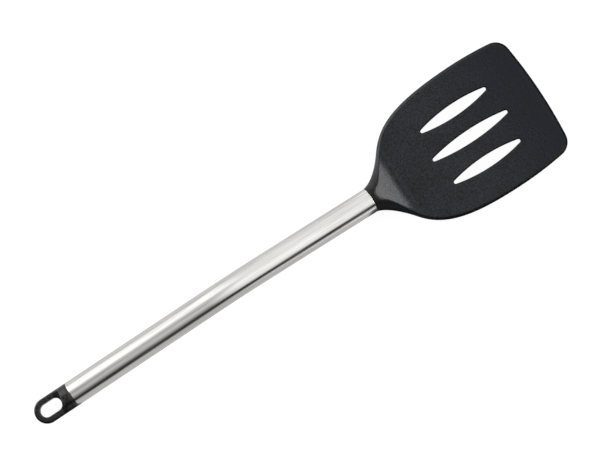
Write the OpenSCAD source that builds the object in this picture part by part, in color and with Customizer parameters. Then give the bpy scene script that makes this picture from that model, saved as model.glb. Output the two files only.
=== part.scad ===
// Slotted turner: a moulded nylon blade and neck, a bent round steel tube for the handle,
// and a moulded end cap with a hanging loop. Millimetres, +Z up, lying on a table with the
// food side up: it touches the table at the heel of the blade and at the rim of the end cap.

/* [Handle tube] */
// Outer diameter of the tube
tube_d = 16; // [13:0.5:20]
// Wall of the tube
tube_wall = 0.5; // [0.4:0.1:1.2]
// Straight length of the tube on the blade's side of the bend
front_len = 78; // [55:1:120]
// Straight length of the tube on the loop's side of the bend
rear_len = 101; // [60:1:160]
// Angle through which the tube bends, in degrees
tube_bend = 12; // [4:1:17]
// Radius of the bend, along the tube's axis
bend_r = 190; // [80:5:300]

/* [Blade outline] */
// Distance from the tube's end to the middle of the front edge
blade_len = 123.3; // [110:1:150]
// Width of the blade at its widest place
blade_w = 86; // [70:1:110]
// Distance from the tube's end to the widest place
widest_x = 83.7; // [76:1:92]
// Distance from the tube's end to the steepest place of the flare
flank_x = 18.4; // [15:0.2:22]
// Angle of the flare at its steepest place, in degrees
flank_angle = 52.6; // [42:0.2:58]
// Angle at which the neck starts to widen, in degrees
flare_angle = 13; // [5:1:20]
// Angle at which the sides draw in at the front corners, in degrees
side_angle = 11; // [5:0.5:12]
// Radius of the front corners
corner_r = 10; // [4:0.5:12]
// Height of the bow of the front edge, over the blade's width
front_bow = 3.1; // [1.5:0.1:6]

/* [Blade section] */
// Angle between the blade and the tube, in degrees
blade_tilt = 13; // [9:1:18]
// Thickness of the blade where the neck runs out
root_t = 3; // [2.4:0.1:4]
// Thickness of the blade at the front edge
front_t = 1.4; // [0.8:0.1:2]
// Width of the sloping, rounded rim along the blade's sides
rim_w = 1.3; // [0.5:0.1:1.8]

/* [Neck] */
// Length of the neck's shoulders, from the tube's end
neck_len = 31; // [26:1:38]
// Length of the round stretch ahead of the tube
collar_len = 4.7; // [3:0.1:7]
// Slope of the ramp down to the blade, measured from the blade, in degrees
ramp_angle = 46; // [38:1:52]
// Distance from the tube's end to the heel, where the underside turns flat
heel_x = 12; // [9:0.5:16]
// Length over which the heel is rounded, to each side
heel_blend = 4; // [2:0.5:6]

/* [Drain slots] */
// Width of a slot at its middle
slot_w = 7.7; // [6:0.1:10]
// Length of the two outer slots
side_slot_len = 48.2; // [40:0.2:60]
// Length of the middle slot
middle_slot_len = 54.7; // [40:0.2:60]
// Distance between the slots' middles
slot_pitch = 19; // [15:0.5:22]
// Distance from the tube's end to the slots' middles
slot_x = 72.4; // [68:0.2:80]
// Angle at which the outer slots spread towards the front, in degrees
slot_fan = 0.5; // [0:0.1:3]
// Radius of a slot's ends
slot_tip_r = 1.2; // [0.6:0.1:2]

/* [End cap] */
// Length of the cap outside the tube
cap_len = 26; // [24:0.5:34]
// Length of the cap's round collar
cap_collar = 5.8; // [4:0.2:8]
// Thickness of the hanging loop
loop_t = 5.6; // [4:0.2:7]
// Radius of the hollow between the collar and the loop
cove_r = 3.4; // [2:0.2:4]
// Length of the hole in the loop
hole_len = 14.8; // [11:0.2:15]
// Width of the hole in the loop
hole_w = 8.4; // [6:0.2:9]

/* [Inside the tube] */
// Clearance between a tang and the tube's bore, on the radius
tang_clear = 0.05; // [0.02:0.01:0.2]
// Length of the blade's tang inside the tube
tang_len = 40; // [32:1:55]
// Length of the end cap's plug inside the tube
plug_len = 24; // [20:1:35]
// Thickness of the ribs of tang and plug
rib_t = 2.4; // [1.6:0.1:3.5]
// Length of the full round land at each end of tang and plug
land_len = 5; // [3:0.5:7]
// Length of a band of cured adhesive
bond_len = 6; // [4:0.5:8]
// Depth of the groove that holds the adhesive
bond_t = 0.9; // [0.5:0.1:1.5]
// Length of the lead-in chamfer at a tang's tip
lead_in = 1.2; // [0.6:0.1:1.5]

/* [Hidden] */

// Fine facets for round walls, and how far a cut runs past what it cuts
$fn = 96;
overrun = 2;

// How much the bend's wall is drawn in from each side, and how far it runs into the straight tube
bend_thinning = 0.03;
bend_lap = 0.5;

tube_r = tube_d / 2;
bore_r = tube_r - tube_wall;
tang_r = bore_r - tang_clear;

// Steps along the outline's three stretches, and in a quarter of a section
neck_steps = 16;
shoulder_steps = 14;
side_steps = 4;
quarter_steps = 6;

// Each quarter of a section starts this many degrees off its flat, so that no edge has zero length
flat_start = 5;

// The outline's curve handles, as shares of the lengths that they shape
neck_start_share = 0.40;
neck_end_share = 0.49;
shoulder_start_share = 0.277;
shoulder_end_share = 0.566;
flank_width_share = 0.548;

// How far the underside's shoulders reach, how low the widest line of the neck dips, and how
// much flatter than a quarter of an ellipse the top's rounding is, from the neck's middle on
under_shoulder_share = 0.78;
waist_dip_share = 0.24;
shoulder_crease_share = 0.45;
lean_share = 0.65;
ramp_top_blend_share = 0.16;
ramp_foot_blend_share = 0.28;

half_w = blade_w / 2;
flank_w = half_w * flank_width_share;

// Height of the tube's axis over the blade's underside, at the tube's end
neck_z = tube_r / cos(blade_tilt) + heel_x * tan(blade_tilt);

// Place of the ramp: it starts at the end of the collar and ends at the blade's top face
ramp_top_z = tube_top(collar_len);
ramp_run = (ramp_top_z - root_t) / tan(ramp_angle);
ramp_foot_x = collar_len + ramp_run;

// Value that rises from 0 to 1 with level ends
function smooth(s) = s <= 0 ? 0 : s >= 1 ? 1 : s * s * (3 - 2 * s);
function mix(a, b, s) = a + (b - a) * s;

// Rise of a line that turns by the slope turn at place x, rounded over blend to each side
function kink(x, place, turn, blend) =
    x <= place - blend ? 0
    : x >= place + blend ? turn * (x - place)
    : turn * pow(x - place + blend, 2) / (4 * blend);

// Side view of the head: the tube's top and bottom lines, run on and turned into the blade
function tube_top(x) = neck_z + tube_r / cos(blade_tilt) - x * tan(blade_tilt);
function tube_bottom(x) = neck_z - tube_r / cos(blade_tilt) - x * tan(blade_tilt);
function thinning(x) = (root_t - front_t) * pow(max(0, x - neck_len) / (blade_len - neck_len), 2);
function top_line(x) =
    tube_top(x)
    + kink(x, collar_len, tan(blade_tilt) - tan(ramp_angle), ramp_run * ramp_top_blend_share)
    + kink(x, ramp_foot_x, tan(ramp_angle), ramp_run * ramp_foot_blend_share)
    - thinning(x);
function bottom_line(x) =
    x >= heel_x + heel_blend ? 0 : tube_bottom(x) + kink(x, heel_x, tan(blade_tilt), heel_blend);

// Point at share s of the curve with ends a and d and handles b and c
function curve(a, b, c, d, s) =
    pow(1 - s, 3) * a + 3 * pow(1 - s, 2) * s * b + 3 * (1 - s) * s * s * c + pow(s, 3) * d;
function along(angle, length) = [cos(angle), sin(angle)] * length;

// Half of the blade's outline, from the tube's end to past the front edge
neck_start = [0, tube_r];
flank = [flank_x, flank_w];
widest = [widest_x, half_w];
shoulder_chord = widest_x - flank_x;
side_run = blade_len + overrun - widest_x;
side_end = widest + [side_run, -side_run * tan(side_angle) / 2];
side_bend = widest + [side_run / 2, 0];
head_outline = concat(
    [for (i = [0 : neck_steps])
        curve(neck_start, neck_start + along(flare_angle, flank_x * neck_start_share),
              flank - along(flank_angle, flank_x * neck_end_share), flank, i / neck_steps)],
    [for (i = [1 : shoulder_steps])
        curve(flank, flank + along(flank_angle, shoulder_chord * shoulder_start_share),
              widest - [shoulder_chord * shoulder_end_share, 0], widest, i / shoulder_steps)],
    [for (i = [1 : side_steps])
        let (s = i / side_steps)
        pow(1 - s, 2) * widest + 2 * (1 - s) * s * side_bend + s * s * side_end]);

// One closed section of the head, through the outline's point at: a flat top and bottom, joined
// by rounded shoulders to the widest line. It leans from square to the tube to upright.
function head_section(at) =
    let (x = at[0], w = at[1], s = x / neck_len,
         lean = tube_r * sin(blade_tilt) * (1 - smooth(s / lean_share)),
         top = [x + lean, top_line(x + lean)],
         bottom = [x - lean, bottom_line(x - lean)],
         swell = s < 1 ? sin(180 * s) : 0,
         waist = 1 / 2 - waist_dip_share * swell,
         crease = 1 + shoulder_crease_share * (s < 1 / 2 ? swell : 1),
         over_w = mix(tube_r, rim_w, smooth(s)),
         under_w = mix(tube_r, rim_w, smooth(s / under_shoulder_share)),
         step = (90 - flat_start) / quarter_steps,
         half = concat(
             [for (i = [0 : quarter_steps])
                 let (a = flat_start + i * step)
                 [w - over_w + over_w * pow(sin(a), crease),
                  waist + (1 - waist) * pow(cos(a) / cos(flat_start), crease)]],
             [for (i = [quarter_steps - 1 : -1 : 0])
                 let (a = flat_start + i * step)
                 [w - under_w + under_w * sin(a), waist - waist * cos(a) / cos(flat_start)]]),
         count = len(half))
    concat(
        [for (p = half) section_point(bottom, top, p[0], p[1])],
        [for (i = [count - 1 : -1 : 0]) section_point(bottom, top, -half[i][0], half[i][1])]);
function section_point(bottom, top, y, rise) =
    [mix(bottom[0], top[0], rise), y, mix(bottom[1], top[1], rise)];

// Closed skin through a list of sections that have the same number of points
module skin(sections) {
    n = len(sections[0]);
    rows = len(sections);
    polyhedron(
        points = [for (s = sections) each s],
        faces = concat(
            [[for (j = [n - 1 : -1 : 0]) j]],
            [for (i = [0 : rows - 2], j = [0 : n - 1], half = [0, 1])
                let (a = i * n + j, b = i * n + (j + 1) % n)
                half == 0 ? [a, b, b + n] : [a, b + n, a + n]],
            [[for (j = [0 : n - 1]) (rows - 1) * n + j]]));
}

// Plan of the front edge and its two rounded corners, closed well behind and beside the blade
front_r = (half_w * half_w + front_bow * front_bow) / (2 * front_bow);
front_centre = blade_len - front_r;
side_normal = [sin(side_angle), cos(side_angle)];
corner_side = side_end * side_normal - corner_r;
corner_reach = front_r - corner_r;
corner_far = corner_side - front_centre * side_normal[0];
corner_turn = acos(corner_far / corner_reach);
corner_end_angle = 90 - side_angle - corner_turn;
corner = [front_centre, 0] + along(corner_end_angle, corner_reach);
corner_steps = 10;
front_steps = 24;
front_half = concat(
    [corner + side_normal * (corner_r + overrun)],
    [for (i = [0 : corner_steps])
        corner + along(mix(90 - side_angle, corner_end_angle, i / corner_steps), corner_r)],
    [for (i = [1 : front_steps / 2])
        [front_centre, 0] + along(mix(corner_end_angle, 0, i / (front_steps / 2)), front_r)]);
beside = half_w + overrun;
module front_plan() {
    edge = [[-tube_d, beside], [front_half[0][0], beside]];
    half = concat(edge, front_half);
    count = len(half);
    polygon(concat(half, [for (i = [count - 2 : -1 : 0]) [half[i][0], -half[i][1]]]));
}

// Plan of a slot: two arcs that cross, with rounded ends, centred on the origin
module slot_plan(length) {
    tip_x = length / 2 - slot_tip_r;
    bow_r = (tip_x * tip_x + slot_w * slot_w / 4 - slot_tip_r * slot_tip_r)
        / (slot_w - 2 * slot_tip_r);
    bow_y = bow_r - slot_w / 2;
    reach = atan(tip_x / bow_y);
    bow_steps = 16;
    tip_steps = 8;
    upper = [for (i = [0 : bow_steps])
        let (a = mix(-reach, reach, i / bow_steps))
        [bow_r * sin(a), bow_r * cos(a) - bow_y]];
    tip = [for (i = [1 : tip_steps - 1])
        [tip_x, 0] + along(mix(90 - reach, reach - 90, i / tip_steps), slot_tip_r)];
    polygon(concat(upper, tip, -upper, -tip));
}

// The three slots, cut through the blade
module slots() {
    for (side = [-1 : 1])
        translate([slot_x, side * slot_pitch, -overrun])
            rotate([0, 0, side * slot_fan])
                linear_extrude(root_t + 2 * overrun)
                    slot_plan(side == 0 ? middle_slot_len : side_slot_len);
}

// A round bar along X, from one place to another
module bar(from, to, r) {
    translate([from, 0, 0]) rotate([0, 90, 0]) cylinder(h = to - from, r = r);
}

// Ribbed stem that fills a tube's end: it starts at the origin and runs along +X, with a round
// land at each end, cross ribs between them and a groove for the adhesive on a round core
module stem(length) {
    groove = stem_groove(length);
    tip = length - lead_in;
    bar(-overrun, land_len, tang_r);
    difference() {
        union() {
            intersection() {
                bar(0, length - land_len, tang_r);
                for (turn = [0, 90])
                    rotate([turn, 0, 0])
                        translate([0, -rib_t / 2, -tang_r])
                            cube([length - land_len, rib_t, tang_d]);
            }
            bar(groove - rib_t, groove + bond_len + rib_t, tang_r);
        }
        difference() {
            bar(groove, groove + bond_len, tang_r + overrun);
            bar(groove - overrun, groove + bond_len + overrun, bore_r - bond_t);
        }
    }
    bar(length - land_len, tip, tang_r);
    translate([tip, 0, 0]) rotate([0, 90, 0]) cylinder(h = lead_in, r1 = tang_r, r2 = tang_r - lead_in);
}
tang_d = 2 * tang_r;
function stem_groove(length) = (length - bond_len) / 2;

// Band of adhesive in a stem's groove, out to the tube's bore
module bond(length) {
    groove = stem_groove(length);
    difference() {
        bar(groove, groove + bond_len, bore_r);
        bar(groove - overrun, groove + bond_len + overrun, bore_r - bond_t);
    }
}

// Frames. The blade's frame has the blade's underside at Z 0 and the tube's end above X 0.
// The tube's frame starts at the tube's end, with +X towards the front edge. The cap's frame
// starts at the tube's other end, with +X into the tube.
module in_tube_frame() {
    translate([0, 0, neck_z]) rotate([0, blade_tilt, 0]) children();
}
module in_cap_frame() {
    in_tube_frame()
        translate([-front_len, 0, -bend_r]) rotate([0, -tube_bend, 0])
            translate([-rear_len, 0, bend_r]) children();
}
function turned(p, angle) =
    [p[0] * cos(angle) + p[1] * sin(angle), p[1] * cos(angle) - p[0] * sin(angle)];
function tube_to_blade(p) = [0, neck_z] + turned(p, blade_tilt);
function cap_to_blade(p) =
    tube_to_blade([-front_len, -bend_r] + turned(p + [-rear_len, bend_r], -tube_bend));

// Lie of the turner on the table: the line that touches the rounded heel and the low edge of
// the cap's collar. Its slope solves a quadratic, because the heel's blend is a parabola.
collar_edge = cap_to_blade([-cap_collar, -tube_r]);
heel_end = heel_x + heel_blend;
heel_bend = tan(blade_tilt) / (4 * heel_blend);
heel_back = heel_end - collar_edge[0];
table_slope = 2 * heel_bend * (heel_back - sqrt(pow(heel_back, 2) - collar_edge[1] / heel_bend));
lift = atan(table_slope);
touch = [heel_end - table_slope / (2 * heel_bend), pow(table_slope, 2) / (4 * heel_bend)];
function on_table(p) = turned(p - touch, -lift);
front_end_x = on_table([blade_len, 0])[0];
loop_end_x = on_table(cap_to_blade([tube_r - cap_len, 0]))[0] - tube_r;
middle_x = (front_end_x + loop_end_x) / 2;
module on_the_table() {
    translate([-middle_x, 0, 0]) rotate([0, -lift, 0]) translate([-touch[0], 0, -touch[1]]) children();
}

// Moulded blade and neck, with the tang that goes into the tube
module turner_head() {
    color("#2b2c2f") on_the_table() {
        difference() {
            intersection() {
                skin([for (at = head_outline) head_section(at)]);
                translate([0, 0, -overrun]) linear_extrude(tube_d * 2) front_plan();
            }
            slots();
        }
        in_tube_frame() rotate([0, 180, 0]) stem(tang_len);
    }
}

// Length of tube from one place to another along X
module pipe(from, to) {
    difference() {
        bar(from, to, tube_r);
        bar(from - overrun, to + overrun, bore_r);
    }
}

// Bent steel tube. The bend's wall is drawn a hair thinner than the straight tube's, and it runs
// into the wall of each straight length.
module handle_tube() {
    lap_angle = atan(bend_lap / bend_r);
    color("#c9c8c6") on_the_table() {
        in_tube_frame() {
            pipe(-front_len, 0);
            translate([-front_len, 0, -bend_r]) rotate([90, 0, 0]) rotate([0, 0, 90 - lap_angle])
                rotate_extrude(angle = tube_bend + 2 * lap_angle)
                    translate([bend_r, 0]) difference() {
                        circle(tube_r - bend_thinning);
                        circle(bore_r + bend_thinning);
                    }
        }
        in_cap_frame() pipe(0, rear_len);
    }
}

// Space over the loop, out to the collar, with the hollow at its inner end
module loop_relief() {
    wall = -cap_collar;
    width = tube_d + 2 * overrun;
    translate([-cap_len - overrun, -width / 2, loop_t / 2])
        cube([cap_len + overrun + wall - cove_r, width, tube_r]);
    translate([-cap_len - overrun, -width / 2, loop_t / 2 + cove_r])
        cube([cap_len + overrun + wall, width, tube_r]);
    translate([wall - cove_r, width / 2, loop_t / 2 + cove_r]) rotate([90, 0, 0])
        cylinder(h = width, r = cove_r);
}

// Moulded end cap: a round-ended bar, thinned to a loop with a hole, and its ribbed plug
module hanging_cap() {
    loop_centre = tube_r - cap_len;
    hole_near = -cap_len + tube_r - hole_w / 2 + hole_len;
    hole_ends = [loop_centre, hole_near - hole_w / 2];
    color("#232325") on_the_table() in_cap_frame() {
        difference() {
            union() {
                bar(loop_centre, 0, tube_r);
                translate([loop_centre, 0, 0]) sphere(tube_r);
            }
            loop_relief();
            mirror([0, 0, 1]) loop_relief();
            for (x = hole_ends)
                translate([x, 0, -tube_r]) cylinder(h = tube_d, r = hole_w / 2);
            translate([hole_ends[0], -hole_w / 2, -tube_r])
                cube([hole_ends[1] - hole_ends[0], hole_w, tube_d]);
        }
        stem(plug_len);
    }
}

// Cured adhesive that holds the blade's tang in the tube
module head_bond() {
    color("#b9a779") on_the_table() in_tube_frame() rotate([0, 180, 0]) bond(tang_len);
}

// Cured adhesive that holds the end cap's plug in the tube
module cap_bond() {
    color("#b9a779") on_the_table() in_cap_frame() bond(plug_len);
}

turner_head();
handle_tube();
hanging_cap();
head_bond();
cap_bond();
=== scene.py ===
from math import asin, atan, atan2, cos, pi, radians, sin, sqrt, tan

import bmesh
import bpy
import numpy as np
from mathutils import Euler, Matrix, Vector
from mathutils.geometry import delaunay_2d_cdt


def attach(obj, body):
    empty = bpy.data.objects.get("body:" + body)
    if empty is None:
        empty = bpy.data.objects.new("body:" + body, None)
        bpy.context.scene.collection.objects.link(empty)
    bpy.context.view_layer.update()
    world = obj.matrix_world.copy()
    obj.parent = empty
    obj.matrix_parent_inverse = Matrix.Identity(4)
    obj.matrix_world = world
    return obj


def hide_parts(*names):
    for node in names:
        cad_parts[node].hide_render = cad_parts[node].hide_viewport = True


bl_info = {
    "name": "Slotted turner",
    "version": (1, 0, 0),
    "blender": (4, 5, 0),
    "location": "View3D > Sidebar > Turner",
    "description": "Builds a slotted kitchen turner on its solids, with its finishes and a studio",
    "category": "Object",
}

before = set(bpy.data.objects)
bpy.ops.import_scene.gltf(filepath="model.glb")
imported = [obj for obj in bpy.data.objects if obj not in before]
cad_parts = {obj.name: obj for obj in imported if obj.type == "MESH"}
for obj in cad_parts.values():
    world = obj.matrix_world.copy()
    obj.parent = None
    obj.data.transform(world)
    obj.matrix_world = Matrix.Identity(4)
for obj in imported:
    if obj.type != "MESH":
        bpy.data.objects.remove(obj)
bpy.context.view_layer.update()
MM = 0.001


# Sizes and colours that a user would change

def size(name, millimetres, text):
    """Property for a length, given in millimetres and kept in metres."""
    return bpy.props.FloatProperty(name=name, description=text, default=millimetres * MM,
                                   min=0.0, unit="LENGTH", precision=5)


def angle(name, degrees, text):
    """Property for an angle, given in degrees."""
    return bpy.props.FloatProperty(name=name, description=text, default=radians(degrees),
                                   subtype="ANGLE", unit="ROTATION")


def share(name, value, text, high=1.0):
    """Property for a plain number from 0 to high."""
    return bpy.props.FloatProperty(name=name, description=text, default=value, min=0.0,
                                   max=high, subtype="FACTOR")


def colour(name, value, text):
    """Property for a colour, in linear red, green and blue."""
    return bpy.props.FloatVectorProperty(name=name, description=text, default=value, size=3,
                                         min=0.0, max=1.0, subtype="COLOR")


class TubeSizes(bpy.types.PropertyGroup):
    """Sizes of the bent steel tube."""
    diameter: size("Diameter", 16, "Outer diameter of the tube")
    wall: size("Wall", 0.5, "Wall of the tube")
    front_len: size("Front length", 78, "Straight length on the blade's side of the bend")
    rear_len: size("Rear length", 101, "Straight length on the loop's side of the bend")
    bend_r: size("Bend radius", 190, "Radius of the bend, along the tube's axis")
    bend: angle("Bend", 12, "Angle through which the tube bends")
    thinning: size("Thinning", 0.04, "How much the bend's radius shrinks in its middle")


class BladeSizes(bpy.types.PropertyGroup):
    """Sizes of the blade."""
    length: size("Length", 123.3, "From the tube's end to the middle of the front edge")
    width: size("Width", 85.99, "Width of the blade at its widest place")
    widest_x: size("Widest place", 83.7, "From the tube's end to the widest place")
    side_angle: angle("Side angle", 11, "Angle at which the sides draw in at the front corners")
    corner_r: size("Corner radius", 10, "Radius of the front corners")
    front_bow: size("Front bow", 3.1, "Height of the bow of the front edge")
    tilt: angle("Tilt", 13, "Angle between the blade and the tube")
    root_t: size("Root thickness", 3, "Thickness where the neck runs out")
    front_t: size("Front thickness", 1.4, "Thickness at the front edge")
    rim_w: size("Rim", 1.8, "Width of the sloping rim")


class NeckSizes(bpy.types.PropertyGroup):
    """Sizes of the neck, between the tube and the blade."""
    length: size("Length", 31, "Length of the neck's shoulders")
    flank_x: size("Flank place", 18.4, "From the tube's end to the steepest place of the flare")
    flank_angle: angle("Flank angle", 52.6, "Angle of the flare at its steepest place")
    flare_angle: angle("Flare angle", 13, "Angle at which the neck starts to widen")
    collar_len: size("Collar", 4.7, "Length of the round stretch ahead of the tube")
    ramp_angle: angle("Ramp angle", 46, "Slope of the ramp down to the blade")
    heel_x: size("Heel", 12, "From the tube's end to where the underside turns flat")
    heel_blend: size("Heel blend", 4, "Length over which the heel is rounded, to each side")
    seam: size("Seam", 0.15, "Rounding of the edge that meets the tube")


class SlotSizes(bpy.types.PropertyGroup):
    """Sizes of the drain slots."""
    width: size("Width", 7.7, "Width of a slot at its middle")
    side_len: size("Outer length", 48.2, "Length of the two outer slots")
    middle_len: size("Middle length", 54.7, "Length of the middle slot")
    pitch: size("Pitch", 19, "Distance between the slots' middles")
    place: size("Place", 72.4, "From the tube's end to the slots' middles")
    fan: angle("Fan", 0.5, "Angle at which the outer slots spread")
    tip_r: size("Tip radius", 1.2, "Radius of a slot's ends")
    edge_r: size("Edge radius", 0.75, "Rounding of the slots' edges")


class CapSizes(bpy.types.PropertyGroup):
    """Sizes of the end cap with its hanging loop."""
    length: size("Length", 25.985, "Length of the cap outside the tube")
    collar: size("Collar", 5.8, "Length of the round collar")
    loop_t: size("Loop thickness", 5.6, "Thickness of the hanging loop")
    cove_r: size("Cove radius", 3.4, "Radius of the hollow between collar and loop")
    hole_len: size("Hole length", 14.8, "Length of the hole in the loop")
    hole_w: size("Hole width", 8.4, "Width of the hole in the loop")
    edge_r: size("Loop edge radius", 1.0, "Rounding of the loop's outer edges")
    hole_edge_r: size("Hole edge radius", 0.7, "Rounding of the hole's edges")
    collar_edge: size("Collar edge", 0.6, "Rounding of the collar's edge over the hollow")
    seam: size("Seam", 0.15, "Rounding of the edge that meets the tube")


class StemSizes(bpy.types.PropertyGroup):
    """Sizes of the ribbed stems inside the tube."""
    clearance: size("Clearance", 0.05, "Between a stem and the tube's bore, on the radius")
    tang_len: size("Tang length", 40, "Length of the head's tang")
    plug_len: size("Plug length", 24, "Length of the cap's plug")
    rib_t: size("Rib", 2.4, "Thickness of the ribs")
    land_len: size("Land", 5, "Length of the full round land at each end")
    bond_len: size("Bond length", 6, "Length of a band of adhesive")
    bond_t: size("Bond depth", 0.9, "Depth of the groove that holds the adhesive")
    lead_in: size("Lead-in", 1.2, "Length of the chamfer at a stem's tip")


class Finishes(bpy.types.PropertyGroup):
    """Colours and finishes of the pieces."""
    nylon: colour("Nylon", (0.0140, 0.0148, 0.0195), "Colour of the head")
    nylon_front: colour("Nylon in front", (0.0002, 0.0012, 0.0062), "Colour at the blade's front")
    nylon_rough: share("Nylon roughness", 0.38, "Roughness of the head's fine grain")
    nylon_polish: share("Nylon polish", 0.14, "How much smoother use has made the front")
    cap: colour("Cap", (0.0010, 0.0010, 0.0010), "Colour of the end cap")
    cap_rough: share("Cap roughness", 0.24, "Roughness of the end cap")
    steel: colour("Steel", (0.66, 0.65, 0.63), "Colour of the brushed tube")
    steel_rough: share("Steel roughness", 0.16, "Roughness of the brushed tube")
    adhesive: colour("Adhesive", (0.50, 0.36, 0.15), "Colour of the cured adhesive")


class Studio(bpy.types.PropertyGroup):
    """Light, floor and camera."""
    room: share("Room light", 1.0, "Strength of the soft light all round", 4.0)
    front: share("Front light", 16.0, "Brightness of the softbox ahead of the blade", 20.0)
    floor: share("Floor", 0.16, "How pale the floor is")
    floor_seen: share("Floor glow", 0.93, "Glow that makes the floor white to the camera")
    floor_shown: share("Floor glow in metal", 0.52, "Glow of the floor as metal shows it")
    lens: bpy.props.FloatProperty(name="Lens", description="Focal length of the camera",
                                  default=281.93, min=1.0, unit="CAMERA")
    camera_place: bpy.props.FloatVectorProperty(
        name="Camera place", description="Where the camera stands", size=3,
        default=(-0.14523008, -0.34969157, 2.91579197), subtype="TRANSLATION", precision=5)
    camera_turn: bpy.props.FloatVectorProperty(
        name="Camera turn", description="Turns of the camera about X, Y and Z", size=3,
        default=(radians(7.58329), radians(1.15339), radians(-33.10045)), subtype="EULER")


class TurnerSettings(bpy.types.PropertyGroup):
    """All settings of the turner."""
    tube: bpy.props.PointerProperty(type=TubeSizes)
    blade: bpy.props.PointerProperty(type=BladeSizes)
    neck: bpy.props.PointerProperty(type=NeckSizes)
    slots: bpy.props.PointerProperty(type=SlotSizes)
    cap: bpy.props.PointerProperty(type=CapSizes)
    stems: bpy.props.PointerProperty(type=StemSizes)
    finishes: bpy.props.PointerProperty(type=Finishes)
    studio: bpy.props.PointerProperty(type=Studio)


# Lines and curves

QUARTER = pi / 2


def mix(a, b, s):
    return a + (b - a) * s


def even(start, end, count, first=0):
    """Evenly spaced values from start to end in count steps, from the step first on."""
    return [mix(start, end, i / count) for i in range(first, count + 1)]


def smooth(s):
    """Rises from 0 to 1 with level ends."""
    s = min(max(s, 0.0), 1.0)
    return s * s * (3 - 2 * s)


def kink(x, place, turn, blend):
    """Rise of a line that turns by the slope turn at place, rounded over blend to each side."""
    if x <= place - blend:
        return 0.0
    if x >= place + blend:
        return turn * (x - place)
    return turn * (x - place + blend) ** 2 / (4 * blend)


def heading(turn):
    return Vector((cos(turn), sin(turn)))


def cubic(a, b, c, d, s):
    return (1 - s) ** 3 * a + 3 * (1 - s) ** 2 * s * b + 3 * (1 - s) * s * s * c + s ** 3 * d


def rounding(r, count):
    """Steps round an edge: how far out from the wall and how far below the face each lies."""
    return [(r * (1 - sin(a)), r * (1 - cos(a))) for a in even(0, QUARTER, count)]


def lattice(low, high, half, step, step_across):
    """Filling points at even steps along X and to both sides of it, given in millimetres."""
    return [(x * MM, y * MM) for x in np.arange(low, high, step)
            for y in np.arange(-half, half + step_across / 2, step_across)]


class Lie:
    """Where the blade, the tube and the end cap lie on the table, as in the solids."""

    def __init__(self, settings):
        tube, blade, neck, cap = settings.tube, settings.blade, settings.neck, settings.cap
        r = tube.diameter / 2
        self.neck_z = r / cos(blade.tilt) + neck.heel_x * tan(blade.tilt)
        to_tube = Matrix.Translation((0, 0, self.neck_z)) @ Matrix.Rotation(blade.tilt, 4, "Y")
        to_cap = (to_tube @ Matrix.Translation((-tube.front_len, 0, -tube.bend_r))
                  @ Matrix.Rotation(-tube.bend, 4, "Y")
                  @ Matrix.Translation((-tube.rear_len, 0, tube.bend_r)))

        # The line that touches the rounded heel and the collar's lowest edge is the table
        collar_edge = to_cap @ Vector((-cap.collar, 0, -r))
        heel_end = neck.heel_x + neck.heel_blend
        heel_bend = tan(blade.tilt) / (4 * neck.heel_blend)
        back = heel_end - collar_edge.x
        slope = 2 * heel_bend * (back - sqrt(back ** 2 - collar_edge.z / heel_bend))
        touch = Vector((heel_end - slope / (2 * heel_bend), 0, slope ** 2 / (4 * heel_bend)))
        on_table = Matrix.Rotation(-atan(slope), 4, "Y") @ Matrix.Translation(-touch)

        front_end = (on_table @ Vector((blade.length, 0, 0))).x
        loop_end = (on_table @ to_cap @ Vector((r - cap.length, 0, 0))).x - r
        centred = Matrix.Translation((-(front_end + loop_end) / 2, 0, 0))
        self.blade = centred @ on_table
        self.tube = self.blade @ to_tube
        self.cap = self.blade @ to_cap


# Meshes: a shell collects grids and filled patches, and closes them into one piece

# Least distance between a filling point and an edge, and between two points of a piece
FILL_GAP = 0.35 * MM
POINT_GAP = 2e-6
# Angle from which an edge between two faces is shown sharp
CREASE = radians(40)
# How far along the rounding of an edge at the tube its middle step lies
SEAM_SHARE = 0.3
# Steps round a turned form, over the width of a stem's rib, and in a search by halving
TURN_STEPS, RIB_STEPS, HALVINGS = 64, 8, 60


def inside(points, loop):
    """Which of the points lie inside the closed loop."""
    points, loop = np.asarray(points, float), np.asarray(loop, float)
    x, y = points[:, 0][:, None], points[:, 1][:, None]
    x1, y1 = loop[:, 0], loop[:, 1]
    x2, y2 = np.roll(x1, -1), np.roll(y1, -1)
    crosses = (y1 > y) != (y2 > y)
    rise = np.where(y2 == y1, 1.0, y2 - y1)
    at = x1 + (y - y1) / rise * (x2 - x1)
    return (crosses & (x < at)).sum(1) % 2 == 1


def clear_of(points, loop, gap):
    """Which of the points stay further than gap from the closed loop."""
    p, a = np.asarray(points, float)[:, None, :], np.asarray(loop, float)
    run = np.roll(a, -1, 0) - a
    along = ((p - a) * run).sum(2) / np.maximum((run * run).sum(1), 1e-18)
    near = a + np.clip(along, 0, 1)[..., None] * run
    return ((p - near) ** 2).sum(2).min(1) > gap * gap


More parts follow.
